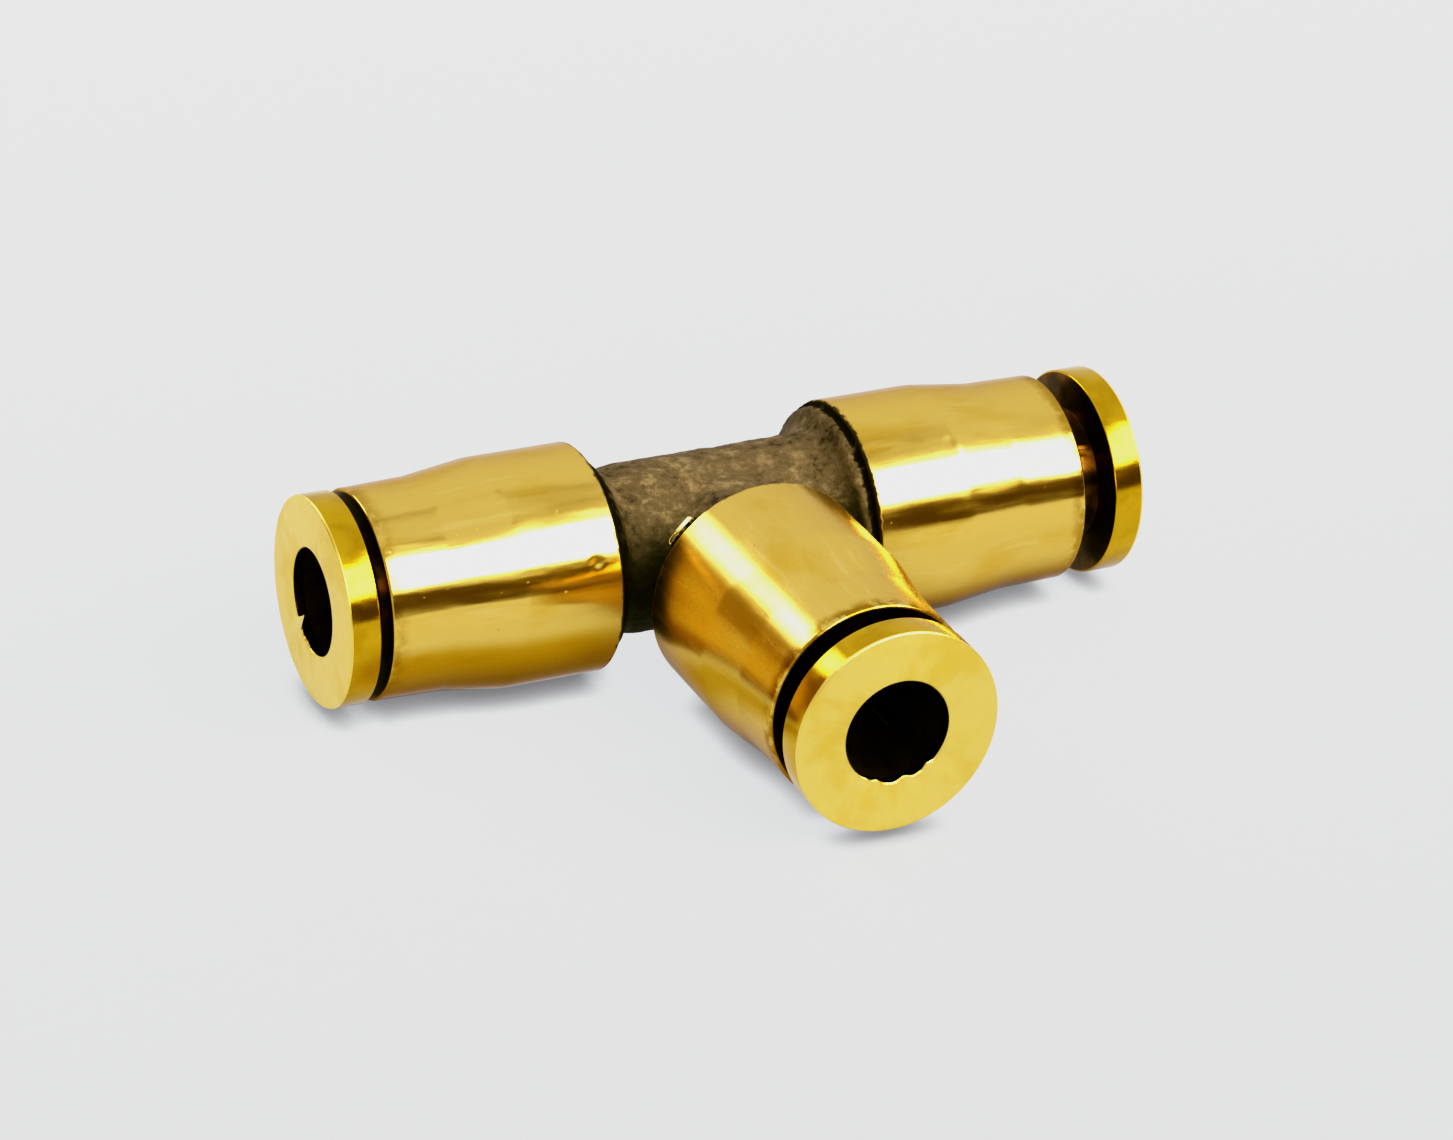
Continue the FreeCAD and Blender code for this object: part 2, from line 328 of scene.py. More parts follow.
def barrel_brass(port, gloss, streaks, shade_free_openness, browned, dents=()):
    """Turned brass: streaked along the barrel by polishing, with fine tool marks, specks and tarnish, and
    painted shade near other surfaces.

    gloss is the roughness where it is cleanest, streaks is how uneven the polish is, and the fourth argument,
    from 0.4 to 1, is how far open a surface has to be before it is free of the painted shade that darkens the
    brass to a deep brown near other surfaces and the floor. browned, 0 to 1, is how brown the mouth is. Dents
    are given as (turn in degrees, out, radius, times longer than wide, depth), with lengths in millimetres.
    """
    s = Shader(f"{port.side}_barrel_brass", BRASS, 1.0, gloss)
    whole = s.round_place()
    place = s.moved(whole, 31 * PORTS.index(port))
    streak = s.noise(0.55, detail=3, place=place, stretch=9.0)
    speck = s.spread(s.noise(0.28, detail=2, place=place), 0.74, 0.80)
    ragged = s.math("ADD", s.turned_uv()[1], s.math("MULTIPLY", s.noise(0.5, detail=4, place=place), 0.5))

    # The inner edge keeps a ragged line of the forging's scale.
    edge = BARREL_R - SOCKET_R + 0.15
    scale = s.spread(ragged, edge + 0.05, edge + 0.30, 1.0, 0.0)

    polished = polished_color(s, place, streak, speck)
    # Painted shade: the brass is darkened to a deep brown where other surfaces and the floor are close.
    shaded_brass = s.mix(s.open_sky(0.0065, 0.40, shade_free_openness), (0.31, 0.16, 0.004), polished)
    oiled = s.mix(mouth_patches(s, port, place, ragged, browned), shaded_brass, (0.36, 0.18, 0.006))
    s.set("Base Color", s.mix(scale, oiled, (0.06, 0.036, 0.012)))

    marks = s.turning(0.10)
    smudge = s.spread(s.noise(1.6, detail=5, place=place, stretch=2.5), 0.42, 0.75)
    uneven = s.math("MULTIPLY", s.spread(streak, 0.35, 0.70), 0.09 * streaks)
    rough = s.math("ADD", s.math("MULTIPLY", marks, 0.05), s.math("MULTIPLY", smudge, 0.07 * streaks))
    rough = s.math("ADD", rough, s.math("MULTIPLY", scale, 0.4))
    s.set("Roughness", s.math("ADD", s.math("ADD", rough, uneven), gloss - 0.02))

    waves = s.bump(s.noise(0.9, detail=2, place=place, stretch=10.0), 0.000014 * streaks)
    lines = s.bump(marks, 0.0000015, onto=waves)
    relief = s.bump(speck, 0.000012, onto=lines)
    for turn, out, radius, stretch, depth in dents:
        relief = s.bump(s.dent(whole, port, turn, out, radius, stretch), depth * MM, onto=relief)
    s.set("Normal", relief)
    s.brush(0.45)
    s.set("Specular Tint", (*BRASS_EDGE, 1))
    s.set("Coat Weight", 0.06)
    s.set("Coat Roughness", 0.12)
    return s.material


def polished_color(s, place, streak, speck):
    """Brass that is deeper in clouds and paler in streaks, with dark specks."""
    cloud = s.noise(3.2, detail=4, place=place, stretch=2.0)
    tarnish = s.math("MULTIPLY", s.spread(cloud, 0.50, 0.72), 0.45)
    toned = s.mix(tarnish, BRASS, BRASS_DEEP)
    pale = s.math("MULTIPLY", s.spread(streak, 0.56, 0.74), 0.5)
    unshaded = s.mix(pale, toned, BRASS_PALE)
    return s.mix(s.math("MULTIPLY", speck, 0.7), unshaded, BRASS_TARNISHED)


def mouth_patches(s, port, place, ragged, browned):
    """Patches at a barrel's mouth, 0 to browned, where oil from the port has dried."""
    mouth = along_barrel(port, port.mouth) + 0.33
    oily = s.math("MULTIPLY", s.spread(ragged, mouth - 1.3, mouth - 0.3), browned)
    return s.math("MULTIPLY", oily, s.spread(s.noise(1.1, detail=3, place=place), 0.36, 0.56))


def collet_face_brass():
    """Faced flange of a collet: satin, with rings, and paler where it is rubbed."""
    s = Shader("collet_face_brass", BRASS_PALE, 1.0, 0.36)
    place = s.round_place()
    cloud = s.spread(s.noise(2.5, detail=5, place=place), 0.40, 0.70)
    s.set("Base Color", s.mix(cloud, (0.97, 0.745, 0.205), (0.91, 0.655, 0.13)))
    marks = s.turning(0.07, wander=0.05)
    smudge = s.spread(s.noise(0.9, detail=5, place=place), 0.35, 0.75)
    rough = s.math("ADD", s.math("MULTIPLY", marks, 0.10), s.math("MULTIPLY", smudge, 0.10))
    s.set("Roughness", s.math("ADD", rough, 0.26))
    lines = s.bump(marks, 0.000004)
    s.set("Normal", s.bump(s.noise(0.00035, detail=4), 0.000006, onto=lines))
    s.brush(0.3)
    return s.material


def collet_rim_brass():
    """Rim of a collet's flange: plain turned brass, deeper in colour than the barrels, with painted shade
    near other surfaces.
    """
    s = Shader("collet_rim_brass", BRASS_DEEP, 1.0, 0.2)
    place = s.round_place()
    cloud = s.spread(s.noise(2.0, detail=4, place=place), 0.42, 0.70)
    turned = s.mix(cloud, (0.73, 0.465, 0.040), (0.62, 0.375, 0.022))
    # Painted shade: the rim is darkened to a deep brown where other surfaces and the floor are close.
    s.set("Base Color", s.mix(s.open_sky(0.005, 0.25, 0.84), (0.33, 0.17, 0.004), turned))
    marks = s.turning(0.06)
    smudge = s.spread(s.noise(0.7, detail=5, place=place, stretch=2.0), 0.40, 0.75)
    rough = s.math("ADD", s.math("MULTIPLY", marks, 0.08), s.math("MULTIPLY", smudge, 0.10))
    s.set("Roughness", s.math("ADD", rough, 0.11))
    waves = s.noise(0.6, detail=3, place=place, stretch=3.0)
    s.set("Normal", s.bump(waves, 0.000006, onto=s.bump(marks, 0.000002)))
    s.brush(0.4)
    return s.material


def groove_brass():
    """Brass in the gaps between flange and mouth, painted a near-black brown as the shade in those gaps."""
    s = Shader("groove_brass", BRASS_TARNISHED, 1.0, 0.3)
    place = s.round_place(4.5)
    cloud = s.spread(s.noise(1.6, detail=5, place=place), 0.38, 0.70)
    # Painted shade: the colour is a near-black brown because these surfaces lie in shade.
    s.set("Base Color", s.mix(cloud, (0.06, 0.026, 0.006), (0.215, 0.098, 0.026)))
    marks = s.turning(0.09)
    s.set("Roughness", s.math("ADD", s.math("MULTIPLY", marks, 0.2), 0.12))
    s.set("Normal", s.bump(marks, 0.000006))
    return s.material


def inner_brass():
    """Bores and the parts inside them: painted near-black as the shade inside the bores, with tool marks."""
    # Painted shade: near-black colours, as the bores lie in shade.
    s = Shader("inner_brass", (0.05, 0.027, 0.009), 0.9, 0.45)
    cloud = s.spread(s.noise(0.002, detail=4), 0.35, 0.70)
    s.set("Base Color", s.mix(cloud, (0.022, 0.011, 0.004), (0.07, 0.036, 0.011)))
    marks = s.turning(0.07)
    s.set("Roughness", s.math("ADD", s.math("MULTIPLY", marks, 0.25), 0.32))
    s.set("Normal", s.bump(marks, 0.000008))
    return s.material


def forged_brass():
    """As forged neck and shoulders: a dull brown scale, mottled and worn in places.

    It is painted nearly black in the corners and towards the bottom, as shade. Where the turning tool has
    skimmed the forging, the skin's "skimmed" value is 1 and it is bright. In the crease beside a barrel its
    painted crease shade is 1 and it is nearly black.
    """
    s = Shader("forged_brass", (0.10, 0.066, 0.02), 0.4, 0.62)
    large = s.noise(0.0026, detail=7, roughness=0.66, distortion=0.8)
    small = s.noise(0.0006, detail=6, roughness=0.70)
    blend = s.math("ADD", s.math("MULTIPLY", large, 0.55), s.math("MULTIPLY", small, 0.45))
    dark_scale = s.spread(blend, 0.37, 0.48)
    scale = s.mix(dark_scale, (0.043, 0.024, 0.012), (0.130, 0.088, 0.045))
    worn = s.spread(blend, 0.48, 0.62)
    skin = s.mix(worn, scale, (0.28, 0.203, 0.103))
    height = s.add("ShaderNodeSeparateXYZ", {"Vector": s.place}).outputs["Z"]
    # Painted shade: darker in corners and towards the bottom, down to nearly black.
    unshaded = s.math("MULTIPLY", s.open_sky(0.0045, 0.30, 0.82), s.spread(height, -0.0009, 0.0016))
    shaded_skin = s.mix(unshaded, (0.004, 0.0025, 0.001), skin)
    # Painted shade: the crease beside each barrel is made nearly black and less shiny.
    crease_shade = s.add("ShaderNodeAttribute", attribute_name="crease_shade").outputs["Fac"]
    crease_shaded = s.mix(crease_shade, shaded_skin, (0.006, 0.003, 0.001))
    s.set("Specular IOR Level", s.spread(crease_shade, 0.0, 1.0, 0.4, 0.1))
    skimmed = s.add("ShaderNodeAttribute", attribute_name="skimmed").outputs["Fac"]
    s.set("Base Color", s.mix(skimmed, crease_shaded, BRASS_PALE))
    s.set("Metallic", s.math("MAXIMUM", s.spread(blend, 0.40, 0.66, 0.15, 0.5), skimmed))
    dull = s.spread(small, 0.30, 0.70, 0.85, 0.62)
    s.set("Roughness", s.math("SUBTRACT", dull, s.math("MULTIPLY", skimmed, 0.5)))
    relief = s.math("SUBTRACT", 1.0, skimmed)
    coarse = s.bump(s.math("MULTIPLY", large, relief), 0.00016)
    s.set("Normal", s.bump(s.math("MULTIPLY", small, relief), 0.00007, onto=coarse))
    return s.material


def nitrile():
    """O-rings: black rubber with a fine grain and a film of grease."""
    s = Shader("nitrile", (0.012, 0.012, 0.013), 0.0, 0.42)
    grain = s.noise(0.00025, detail=4)
    s.set("Roughness", s.spread(s.noise(0.0015), 0.35, 0.70, 0.28, 0.55))
    s.set("Normal", s.bump(grain, 0.000006))
    s.set("Base Color", s.mix(s.spread(grain, 0.3, 0.7), (0.010, 0.010, 0.011), (0.022, 0.021, 0.021)))
    return s.material


def floor_glow():
    """Pale translucent table, lit from below, so that shadows on it are light. Its glow is painted brighter
    towards the back, and a painted contact shadow dims it where the object is close.
    """
    s = Shader("floor_glow", (0.03, 0.03, 0.03), 0.0, 0.9)
    fibre = s.noise(0.0012, detail=4)
    s.set("Base Color", s.mix(s.spread(fibre, 0.3, 0.7), (0.029, 0.029, 0.03), (0.031, 0.031, 0.032)))
    s.set("Normal", s.bump(fibre, 0.00001))
    s.set("Specular IOR Level", 0.2)
    s.set("Emission Color", (0.985, 0.995, 1.0, 1))
    depth = s.add("ShaderNodeSeparateXYZ", {"Vector": s.place}).outputs["Y"]
    # Painted light and shadow: the glow grows towards the back, and is dimmed as a contact shadow near the
    # object.
    glow = s.spread(depth, -0.12, 0.16, 0.685, 0.765)
    near = s.add("ShaderNodeAmbientOcclusion", {"Distance": 0.0018}, samples=12).outputs["AO"]
    s.set("Emission Strength", s.math("MULTIPLY", glow, s.spread(near, 0.0, 0.9, 0.30, 1.0)))
    return s.material


# ---- Shapes: helpers ---------------------------------------------------------------------------------


class Corner(NamedTuple):
    """A corner of an outline; look is the material from its rounding's end to the end of the next one's."""

    radius: float
    out: float
    rounding: float = EDGE_BREAK
    look: int = 0


def rounded(corners, steps=5):
    """A closed outline of (radius, out, look) points with its corners rounded."""
    points = []
    for i, corner in enumerate(corners):
        here = Vector(corner[:2])
        back = Vector(corners[i - 1][:2]) - here
        ahead = Vector(corners[(i + 1) % len(corners)][:2]) - here
        turn = math.pi - back.angle(ahead)
        if corner.rounding <= 0 or turn < 0.002:
            points.append((*here, corner.look))
            continue
        reach = min(corner.rounding * math.tan(turn / 2), 0.45 * back.length, 0.45 * ahead.length)
        bend = reach / math.tan(turn / 2)
        centre = here + (back.normalized() + ahead.normalized()).normalized() * (bend / math.cos(turn / 2))
        first = here + back.normalized() * reach - centre
        last = here + ahead.normalized() * reach - centre
        swing = first.angle_signed(last)
        for k in range(steps + 1):
            spoke = first.copy()
            spoke.rotate(Matrix.Rotation(-swing * k / steps, 2))
            points.append((*(centre + spoke), corner.look if k == steps else corners[i - 1].look))
    return points


def finish_mesh(name, bm, materials, sharp_deg=38):
    """Turns a bmesh into an object with smooth faces and sharp creases."""
    mesh = bpy.data.meshes.new(name)
    bmesh.ops.recalc_face_normals(bm, faces=bm.faces)
    bm.to_mesh(mesh)
    bm.free()
    mesh.polygons.foreach_set("use_smooth", [True] * len(mesh.polygons))
    mesh.set_sharp_from_angle(angle=math.radians(sharp_deg))
    for material in materials:
        mesh.materials.append(material)
    made = bpy.data.objects.new(name, mesh)
    bpy.context.scene.collection.objects.link(made)
    return made


def lathe(port, outline, segments=SEGMENTS):
    """A bmesh turned about a port's axis from a closed outline, with its seam at the bottom."""
    bm = bmesh.new()
    uv = bm.loops.layers.uv.new("turning")
    rings = []
    lengths = [0.0]
    for i, (radius, out, _) in enumerate(outline):
        lengths.append(lengths[-1] + math.dist((radius, out), outline[(i + 1) % len(outline)][:2]))
        turns = (math.pi + math.tau * k / segments for k in range(segments))
        rings.append([bm.verts.new(port.point(radius, turn, out)) for turn in turns])
    for i, ring in enumerate(rings):
        beyond = rings[(i + 1) % len(rings)]
        for k in range(segments):
            turn = (k + 1) % segments
            face = bm.faces.new((ring[k], ring[turn], beyond[turn], beyond[k]))
            face.material_index = outline[i][2]
            ends = ((k, i), (k + 1, i), (k + 1, i + 1), (k, i + 1))
            for loop, (step, at) in zip(face.loops, ends):
                loop[uv].uv = (step / segments * TURN_UV, lengths[at])
    return bm


def evaluated(obj):
    """A copy of an object's mesh with its modifiers applied."""
    depsgraph = bpy.context.evaluated_depsgraph_get()
    return bpy.data.meshes.new_from_object(obj.evaluated_get(depsgraph))


def cut(target, tool):
    """Cuts tool out of target, and removes tool."""
    modifier = target.modifiers.new("cut", "BOOLEAN")
    modifier.object = tool
    modifier.operation = "DIFFERENCE"
    modifier.solver = "EXACT"
    mesh = evaluated(target)
    old = target.data
    target.modifiers.clear()
    target.data = mesh
    bpy.data.objects.remove(tool)
    bpy.data.meshes.remove(old)


def settle(obj, body, slot, *nodes):
    """The piece rides on a body and stands for CAD nodes. slot is not used."""
    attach(obj, body)
    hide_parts(*nodes)
    return obj


# ---- The body ------------------------------------------------------------------------------------------


def barrel(port, looks):
    """The turned barrel of a port: outside, swaged mouth with its lip, and the stepped bore."""
    mouth, start = port.mouth, port.turned_from
    groove, inner, end = 1, 2, 3
    outline = rounded([
        Corner(SOCKET_R, start, 0, end),
        Corner(BARREL_R - BARREL_CHAMFER, start, 0.05),
        Corner(BARREL_R, start + BARREL_CHAMFER),
        Corner(BARREL_R, mouth - SWAGE_FROM_MOUTH, SWAGE_BLEND),
        Corner(SWAGED_R, mouth - SWAGE_FROM_MOUTH + SWAGE_LENGTH, SWAGE_BLEND),
        Corner(MOUTH_R, mouth - MOUTH_ROUND, 0),
        Corner(MOUTH_R, mouth, MOUTH_ROUND, groove),
        Corner(LIP_R, mouth, 0.02, groove),
        Corner(LIP_R, mouth - LIP_THICKNESS, EDGE_BREAK, inner),
        Corner(CAM_R, mouth - LIP_THICKNESS, 0, inner),
        Corner(CAM_R, mouth - CAM_SEAT, 0, inner),
        Corner(CAVITY_R, mouth - CAM_SEAT, EDGE_BREAK, inner),
        Corner(CAVITY_R, mouth - CAVITY_INNER, 0, inner),
        Corner(GLAND_R, mouth - CAVITY_INNER, EDGE_BREAK, inner),
        Corner(GLAND_R, mouth - GLAND_INNER, 0, inner),
        Corner(SOCKET_R, mouth - GLAND_INNER, EDGE_BREAK, inner),
    ], steps=8)
    made = finish_mesh(f"{port.side}_barrel", lathe(port, outline), looks)
    return settle(made, "fitting", "body_brass", "tee_body")


def forging_blank():
    """The CAD body cut off where its barrels begin, in millimetres, closed at the cuts."""
    bm = bmesh.new()
    bm.from_mesh(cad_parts["tee_body"].data)
    bmesh.ops.scale(bm, vec=(1 / MM,) * 3, verts=bm.verts)
    bmesh.ops.remove_doubles(bm, verts=bm.verts, dist=0.0005)
    for port in PORTS:
        everything = bm.verts[:] + bm.edges[:] + bm.faces[:]
        sliced = bmesh.ops.bisect_plane(
            bm, geom=everything, plane_co=port.axis * (port.turned_from - 0.01), plane_no=port.axis,
            clear_outer=True,
        )
        rim = [e for e in sliced["geom_cut"] if isinstance(e, bmesh.types.BMEdge)]
        bmesh.ops.triangle_fill(bm, edges=rim, use_beauty=True)
    return bm


def forging(material):
    """The forged neck and shoulders, with the uneven skin that forging leaves."""
    blank = finish_mesh("forging_blank", forging_blank(), [])
    remesh = blank.modifiers.new("remesh", "REMESH")
    remesh.mode = "VOXEL"
    remesh.voxel_size = SKIN_VOXEL
    smooth = blank.modifiers.new("smooth", "SMOOTH")
    smooth.factor = 0.5
    smooth.iterations = 3
    mesh = evaluated(blank)
    bm = bmesh.new()
    bm.from_mesh(mesh)
    bm.normal_update()
    skimmed = bm.verts.layers.float.new("skimmed")
    crease_shade = bm.verts.layers.float.new("crease_shade")
    for vert in bm.verts:
        swell = noise.fractal(vert.co * 0.55, 0.6, 2.0, 4)
        grain = noise.fractal(vert.co * 2.6 + Vector((9, 4, 1)), 0.7, 2.0, 4)
        vert.co += vert.normal * SKIN_DEPTH * (swell * 0.9 + grain * 0.45 - 0.35)
        swell_shoulders(vert)
        vert[skimmed] = skim(vert)
        # Painted shade in the crease beside each barrel, none where the collar is skimmed.
        vert[crease_shade] = crease_shade_at(vert) * (1 - vert[skimmed])
    bmesh.ops.scale(bm, vec=(MM,) * 3, verts=bm.verts)
    made = finish_mesh("forging", bm, [material], sharp_deg=80)
    bpy.data.objects.remove(blank)
    return settle(made, "fitting", "body_brass", "tee_body")


def swell_shoulders(vert):
    """The dies didn't meet square: the shoulder is fuller at the right and thinner at the left."""
    out = abs(vert.co.x)
    more = SWELL if vert.co.x > 0 else -SWELL
    spoke = Vector((0, vert.co.y, vert.co.z))
    vert.co += spoke.normalized() * (more * smooth_step((out - SWELL_FROM) / SWELL_LENGTH))


def crease_shade_at(vert):
    """How much painted shade the crease beside a barrel has at a vertex in millimetres, 0 to 1, with a ragged
    edge.
    """
    most = 0.0
    ragged = noise.fractal(vert.co * 1.7 + Vector((3, 8, 2)), 0.7, 2.0, 4)
    for port in PORTS:
        out = vert.co.dot(port.axis)
        reach, fade, least_r = CREASE_SHADE_BANDS[port.side]
        if (vert.co - port.axis * out).length > least_r:
            most = max(most, smooth_step((out - port.turned_from + reach + ragged * 0.3) / fade))
    return most


def skim(vert):
    """Raises the collar beside the branch at one side, as far as the turning tool lets it.

    The vertex is in millimetres. Returns how far it is skimmed, 0 to 1.
    """
    port = PORTS[2]
    out = vert.co.dot(port.axis)
    spoke = vert.co - port.axis * out
    turn = math.degrees(math.atan2(spoke.dot(port.across), spoke.dot(port.up)))
    along = 1 - abs(out - SKIM_OUT) / SKIM_HALF_LENGTH
    around = 1 - abs(turn - SKIM_TURN) / SKIM_HALF_TURN
    if along <= 0 or around <= 0 or spoke.length < SKIM_LEAST_R:
        return 0.0
    edge = smooth_step(along * 3) * smooth_step(around * 2.5)
    raised = spoke.length + (BARREL_R - COLLAR_R) * 1.25 * edge
    kept = min(raised, BARREL_R - SKIM_CLEARANCE)
    vert.co = port.axis * out + spoke.normalized() * kept
    return smooth_step((raised - kept) * 12) if raised > kept else 0.0


def smooth_step(value):
    """0 up to 0, 1 from 1 on, and smooth between."""
    value = min(1.0, max(0.0, value))
    return value * value * (3 - 2 * value)


# ---- The stack in each port ------------------------------------------------------------------------------


def collet(port, looks):
    """Flange, sleeve and toothed jaws in one piece, with the saw cuts between the jaws."""
    tip, face = port.span("collet")
    back = face - FLANGE_THICKNESS
    flange_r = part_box(port.node("collet"))[1].z / MM
    land = back - JAW_LAND_FROM_BACK
    face_look, rim, groove, inner = 0, 1, 2, 3
    outline = rounded([
        Corner(TUBE_BORE_R + 0.20, tip, 0.03, inner),
        Corner(TOOTH_R, tip + TOOTH_BACK, 0.02, inner),
        Corner(TUBE_BORE_R, tip + TOOTH_LENGTH, EDGE_BREAK, inner),
        Corner(TUBE_BORE_R, face - 0.7, 0, groove),
        Corner(TUBE_BORE_R, face - 0.10, EDGE_BREAK, face_look),
        Corner(TUBE_BORE_R + 0.10, face, 0.08, face_look),
        Corner(flange_r, face, 0.16, rim),
        Corner(flange_r, back, 0.12, groove),
        Corner(SLEEVE_R, back, 0.02, groove),
        Corner(SLEEVE_R, land + JAW_FLANK, EDGE_BREAK, inner),
        Corner(JAW_R, land, EDGE_BREAK, inner),
        Corner(JAW_R, land - JAW_LAND, EDGE_BREAK, inner),
        Corner(SLEEVE_R, tip + TIP_CHAMFER, EDGE_BREAK, inner),
        Corner(SLEEVE_R - TIP_CHAMFER, tip, EDGE_BREAK, inner),
    ])
    bm = lathe(port, outline)
    burr(bm, port, face)
    made = finish_mesh(port.node("collet_piece"), bm, looks)
    cut(made, jaw_slots(port, tip - 1, back - SLOT_FROM_BACK))
    return settle(made, port.node("collet"), "collet_brass", port.node("collet"))


def burr(bm, port, face):
    """Raises ragged burrs inwards on the edge of a collet's bore, where BURRS says."""
    for vert in bm.verts:
        place = vert.co / MM
        out = place.dot(port.axis)
        spoke = place - port.axis * out
        if abs(spoke.length - TUBE_BORE_R - 0.08) > 0.12 or out < face - 0.3:
            continue
        turn = math.degrees(math.atan2(spoke.dot(port.across), spoke.dot(port.up)))
        ragged = max(0.0, noise.noise(spoke * BURR_GRAIN[port.side] + port.axis * 7) + 0.35)
        for at, half_wide, high in BURRS[port.side]:
            away = abs((turn - at + 180) % 360 - 180) / half_wide
            vert.co -= spoke.normalized() * (high * smooth_step(1 - away) * ragged * MM)


def jaw_slots(port, start, end):
    """The saw blades' path: thin slabs that cross the sleeve, with a round end."""
    bm = bmesh.new()
    half = SLOT_WIDTH / 2
    for i in range(SLOT_COUNT):
        turn = math.tau * (i + 0.5) / SLOT_COUNT
        spoke = port.up * math.cos(turn) + port.across * math.sin(turn)
        beside = port.axis.cross(spoke)
        profile = [(-half, start), (half, start)]
        profile += [
            (half * math.cos(a), end - half + half * math.sin(a)) for a in (math.pi * k / 8 for k in range(9))
        ]
        layers = []
        for reach in (TUBE_BORE_R * 0.7, JAW_R + 0.6):
            layers.append([
                bm.verts.new((spoke * reach + beside * side + port.axis * out) * MM) for side, out in profile
            ])
        inner, outer = layers
        bm.faces.new(inner)
        bm.faces.new(outer)
        for k in range(len(profile)):
            j = (k + 1) % len(profile)
            bm.faces.new((inner[k], inner[j], outer[j], outer[k]))
    bmesh.ops.remove_doubles(bm, verts=bm.verts, dist=1e-8)
    return finish_mesh("jaw_slots", bm, [])


def tube_support(port, material):
    root, tip = port.span("tube_support")
    shank_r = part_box(port.node("tube_support"))[1].z / MM
    outline = rounded([
        Corner(SUPPORT_BORE_R, root),
        Corner(shank_r, root, 0.15),
        Corner(shank_r, root + SUPPORT_SHANK),
        Corner(SUPPORT_R, root + SUPPORT_SHANK, 0.03),
        Corner(SUPPORT_R, tip, 0.25),
        Corner(SUPPORT_BORE_R, tip, 0.15),
    ])
    made = finish_mesh(port.node("tube_support_piece"), lathe(port, outline, HIDDEN_SEGMENTS), [material])
    return settle(made, "fitting", "turned_brass", port.node("tube_support"))


def seal_washer(port, material):
    inner, outer = port.span("seal_washer")
    rim_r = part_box(port.node("seal_washer"))[1].z / MM
    outline = rounded([
        Corner(WASHER_BORE_R, inner),
        Corner(rim_r, inner),
        Corner(rim_r, outer),
        Corner(WASHER_BORE_R + WASHER_LEAD_IN, outer),
        Corner(WASHER_BORE_R, outer - WASHER_LEAD_IN),
    ])
    made = finish_mesh(port.node("seal_washer_piece"), lathe(port, outline, HIDDEN_SEGMENTS), [material])
    return settle(made, "fitting", "turned_brass", port.node("seal_washer"))


def cam_ring(port, material):
    inner, outer = port.span("cam_ring")
    throat = port.mouth - THROAT_FROM_MOUTH
    rim_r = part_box(port.node("cam_ring"))[1].z / MM
    outline = rounded([
        Corner(CONE_WIDE_R, inner),
        Corner(rim_r, inner),
        Corner(rim_r, outer),
        Corner(THROAT_R, outer),
        Corner(THROAT_R, throat, 0.2),
        Corner(CONE_WIDE_R, throat - CONE_LENGTH, 0.1),
    ])
    made = finish_mesh(port.node("cam_ring_piece"), lathe(port, outline, HIDDEN_SEGMENTS), [material])
    return settle(made, "fitting", "turned_brass", port.node("cam_ring"))


def o_ring(port, material):
    """Round section with the thin flash of its mould on the inside and the outside."""
    inner, outer = port.span("o_ring")
    section_r = (outer - inner) / 2
    ring_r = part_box(port.node("o_ring"))[1].z / MM - section_r
    outline = []
    for k in range(48):
        angle = math.tau * k / 48
        flash = 0.02 * max(0.0, abs(math.cos(angle)) * 12 - 11)
        reach = section_r - 0.02 + flash
        outline.append((ring_r + reach * math.cos(angle), (inner + outer) / 2 + reach * math.sin(angle), 0))
    turned = lathe(port, outline, HIDDEN_SEGMENTS)
    made = finish_mesh(port.node("o_ring_piece"), turned, [material], sharp_deg=60)
    return settle(made, "fitting", "nitrile", port.node("o_ring"))


# ---- The studio --------------------------------------------------------------------------------------------


def direction(azimuth, elevation):
    """A unit vector towards a place round the object: azimuth 0 is towards -Y, and 90 towards +X."""
    a, e = math.radians(azimuth), math.radians(elevation)
    return Vector((math.sin(a) * math.cos(e), -math.cos(a) * math.cos(e), math.sin(e)))


def card(name, azimuth, elevation, wide_deg, high_deg, material, distance=0.8, roll=0):
    """A curved card that polished metal reflects, seen from the object over that many degrees."""
    across, upward = 24, 6
    bm = bmesh.new()
    uv = bm.loops.layers.uv.new("card")
    turn = Matrix.Rotation(math.radians(roll), 3, direction(azimuth, elevation))
    rows = []
    for j in range(upward + 1):
        e = elevation + high_deg * (j / upward - 0.5)
        azimuths = (azimuth + wide_deg * (i / across - 0.5) for i in range(across + 1))
        rows.append([bm.verts.new(turn @ direction(a, e) * distance) for a in azimuths])
    for j in range(upward):
        for i in range(across):
            face = bm.faces.new((rows[j][i], rows[j][i + 1], rows[j + 1][i + 1], rows[j + 1][i]))
            places = ((i, j), (i + 1, j), (i + 1, j + 1), (i, j + 1))
            for loop, (x, y) in zip(face.loops, places):
                loop[uv].uv = (x / across, y / upward)
    staged(name, bm, material)


def staged(name, bm, material):
    """A mesh of the studio, which the camera doesn't see."""
    made = finish_mesh(name, bm, [material])
    made.visible_camera = False
    return made


def low_card(name, low_corner, high_corner, material):
    """A card just over the floor, between corners in millimetres, seen only by polished metal."""
    bm = bmesh.new()
    uv = bm.loops.layers.uv.new("card")
    (x0, y0), (x1, y1) = low_corner, high_corner
    height = FLOOR_Z + 0.3 * MM
    corners = [bm.verts.new((x * MM, y * MM, height)) for x, y in ((x0, y0), (x1, y0), (x1, y1), (x0, y1))]
    face = bm.faces.new(corners)
    for loop, place in zip(face.loops, ((0, 0), (1, 0), (1, 1), (0, 1))):
        loop[uv].uv = place
    made = staged(name, bm, material)
    made.visible_shadow = False
    made.visible_diffuse = False


